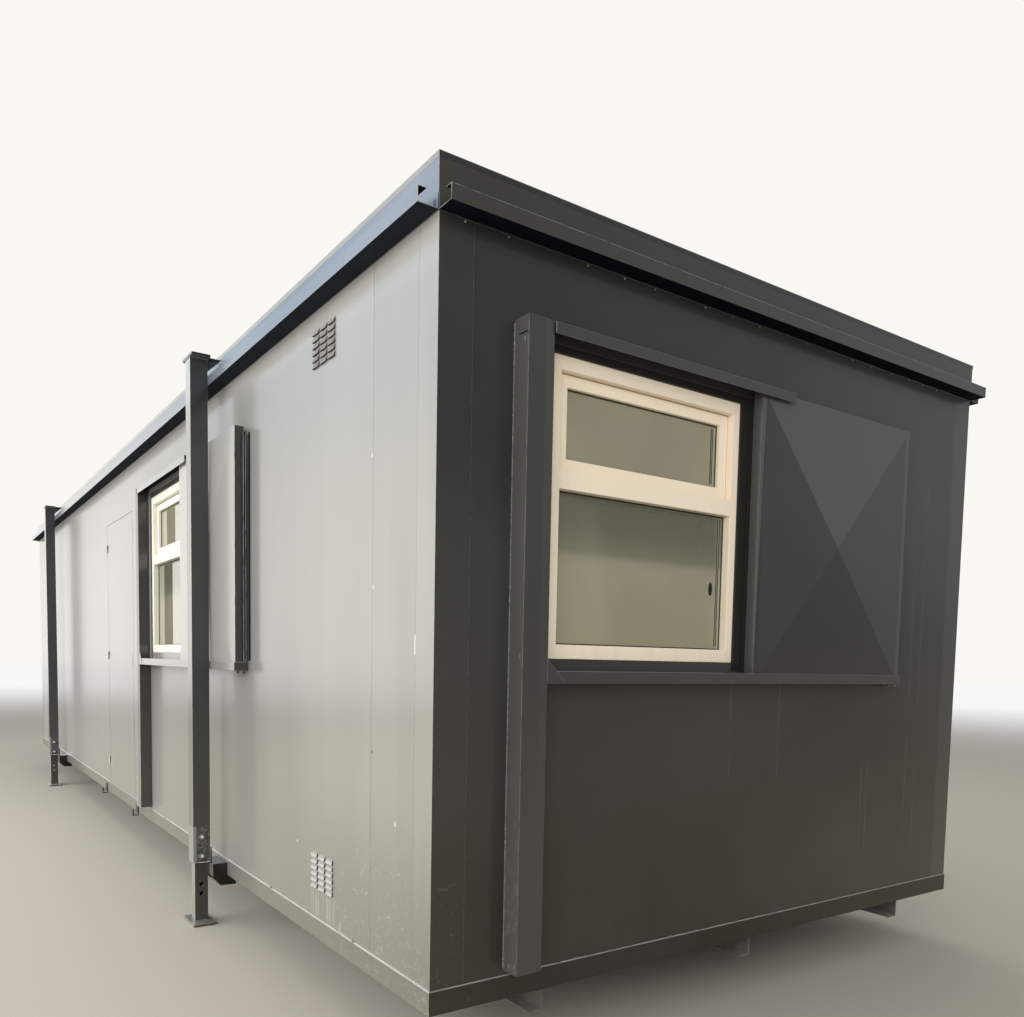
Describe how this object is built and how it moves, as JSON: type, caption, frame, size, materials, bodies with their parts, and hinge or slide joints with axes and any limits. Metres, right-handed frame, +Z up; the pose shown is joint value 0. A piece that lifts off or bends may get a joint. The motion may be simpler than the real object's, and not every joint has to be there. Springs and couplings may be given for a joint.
{
  "type": "portable site cabin",
  "caption": "Hollow steel site cabin on telescopic jack legs, with roof gutters, framed windows, sliding steel window shutters and a flush hinged door",
  "frame": {"origin": "on the ground under the middle of the cabin", "axes": "+X along the end walls to the right side, +Y from the front end wall with the window to the rear, +Z up"},
  "size_m": [3.395, 9.898, 2.9],
  "materials": {
    "anthracite_paint": "semi-gloss, dusty low down",
    "window_plastic": "satin",
    "window_glass": "polished",
    "floor_board": "sheet flooring over board",
    "white_board": "matte",
    "zinc_steel": "worn zinc"
  },
  "bodies": {
    "cabin": {"base_rail_front": "anthracite_paint", "base_rail_rear": "anthracite_paint", "base_rail_left": "anthracite_paint", "base_rail_right": "anthracite_paint", "floor_joists": "anthracite_paint", "runners": "anthracite_paint", "floor_deck": "floor_board", "corner_posts": "anthracite_paint", "front_wall": "anthracite_paint", "rear_wall": "anthracite_paint", "right_wall": "anthracite_paint", "left_wall_corner": "anthracite_paint", "left_wall_window": "anthracite_paint", "left_wall_over_door": "anthracite_paint", "left_wall_far": "anthracite_paint", "ceiling": "white_board", "fascia_front": "anthracite_paint", "fascia_rear": "anthracite_paint", "fascia_left": "anthracite_paint", "fascia_right": "anthracite_paint", "roof_skin": "anthracite_paint", "gutter_front": "anthracite_paint", "gutter_rear": "anthracite_paint", "gutter_left": "anthracite_paint", "gutter_right": "anthracite_paint", "front_window_frame": "window_plastic", "front_window_vent": "window_plastic", "front_window_glass": "window_glass", "left_window_frame": "window_plastic", "left_window_vent": "window_plastic", "left_window_glass": "window_glass", "front_shutter_post": "anthracite_paint", "front_shutter_hood": "anthracite_paint", "front_shutter_sill": "anthracite_paint", "left_shutter_post": "anthracite_paint", "left_shutter_hood": "anthracite_paint", "left_shutter_sill": "anthracite_paint", "door_frame": "anthracite_paint", "step_lugs": "anthracite_paint", "jack_leg_front_left": "anthracite_paint", "jack_leg_front_right": "anthracite_paint", "jack_leg_rear_left": "anthracite_paint", "jack_leg_rear_right": "anthracite_paint", "inner_legs_front": "anthracite_paint", "inner_legs_rear": "anthracite_paint", "leg_bolts": "zinc_steel", "leg_brackets": "anthracite_paint"},
    "front_shutter": {"front_shutter": "anthracite_paint"},
    "left_shutter": {"left_shutter": "anthracite_paint"},
    "door": {"door_leaf": "anthracite_paint"}
  },
  "joints": [
    {"name": "front_shutter_slide", "type": "slide", "parent": "cabin", "child": "front_shutter", "axis": [-1, 0, 0], "range_m": [0, 1.024]},
    {"name": "left_shutter_slide", "type": "slide", "parent": "cabin", "child": "left_shutter", "axis": [0, 1, 0], "range_m": [0, 1.024]},
    {"name": "door_hinge", "type": "hinge", "parent": "cabin", "child": "door", "pos_m": [-1.527, 0.4725, 1.333], "axis": [0, 0, -1], "range_deg": [0, 110]}
  ]
}
